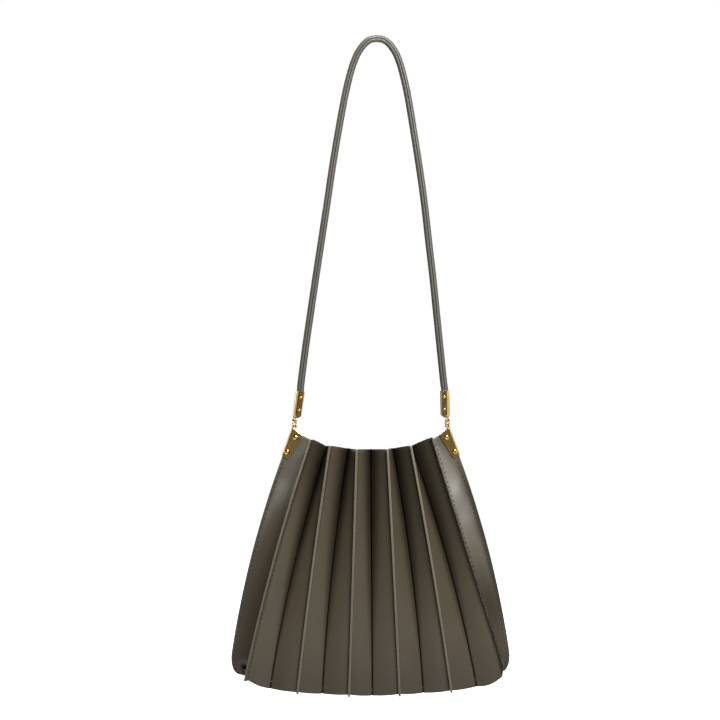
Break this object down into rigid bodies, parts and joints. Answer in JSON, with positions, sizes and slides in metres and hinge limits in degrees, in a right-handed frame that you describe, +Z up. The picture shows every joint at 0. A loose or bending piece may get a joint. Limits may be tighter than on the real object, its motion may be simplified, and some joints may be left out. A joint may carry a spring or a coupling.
{
  "type": "pleated shoulder bag",
  "caption": "Soft shoulder bag with a fan-pleated leather body that narrows to its mouth, a sagging base, brass corner clips and a long rolled strap.",
  "frame": {"origin": "underside of the strap at its highest point, where a hook or a shoulder carries the bag", "axes": "+Z up, -Y is the front with the camera's side of the pleats, +X to the viewer's right"},
  "size_m": [0.2786, 0.1058, 0.6535],
  "materials": {
    "wall_leather": "smooth satin, dark olive taupe",
    "strap_leather": "smooth satin, dark olive taupe",
    "brass": "polished gold"
  },
  "bodies": {
    "root": {"front_left_gusset": "wall_leather", "front_pleat_1": "wall_leather", "front_pleat_2": "wall_leather", "front_pleat_3": "wall_leather", "front_pleat_4": "wall_leather", "front_pleat_5": "wall_leather", "front_right_gusset": "wall_leather", "back_left_gusset": "wall_leather", "back_pleat_1": "wall_leather", "back_pleat_2": "wall_leather", "back_pleat_3": "wall_leather", "back_pleat_4": "wall_leather", "back_pleat_5": "wall_leather", "back_right_gusset": "wall_leather", "base_panel": "wall_leather", "strap": "strap_leather", "corner_clip_left": "brass", "corner_clip_right": "brass", "link_ring_left": "brass", "link_ring_right": "brass", "ferrule_left": "brass", "ferrule_right": "brass", "clip_rivet_left_1": "brass", "clip_rivet_left_2": "brass", "clip_rivet_right_1": "brass", "clip_rivet_right_2": "brass", "ferrule_rivet_left_1": "brass", "ferrule_rivet_left_2": "brass", "ferrule_rivet_right_1": "brass", "ferrule_rivet_right_2": "brass"}
  },
  "joints": []
}
